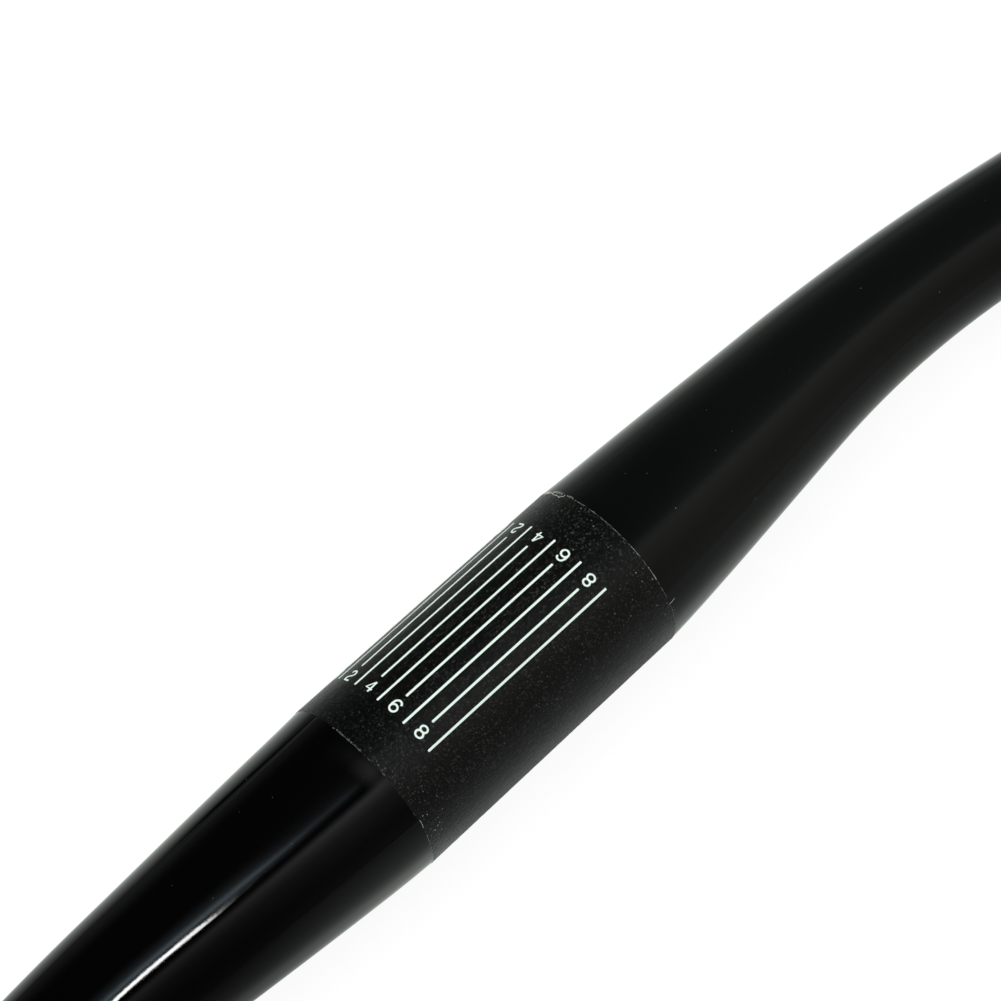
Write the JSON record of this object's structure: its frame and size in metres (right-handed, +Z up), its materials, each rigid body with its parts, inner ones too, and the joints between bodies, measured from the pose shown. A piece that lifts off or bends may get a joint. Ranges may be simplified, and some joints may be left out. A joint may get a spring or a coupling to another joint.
{
  "type": "flat handlebar",
  "caption": "One-piece flat bicycle handlebar: a gloss black tapered tube with a gritty clamp band, a printed clamp scale and slightly swept-back ends.",
  "frame": {"origin": "middle of the clamp band, on its axis", "axes": "+X along the clamp band to the rider's right, +Y forward, +Z up with the bar lying at rest"},
  "size_m": [0.7034, 0.0644, 0.0318],
  "materials": {
    "lacquer": "deep gloss black lacquer",
    "clamp_grit": "gritty dark grey coat with fine pale specks",
    "scale_print": "thin white print"
  },
  "bodies": {
    "root": {"handlebar": "lacquer"}
  },
  "joints": []
}
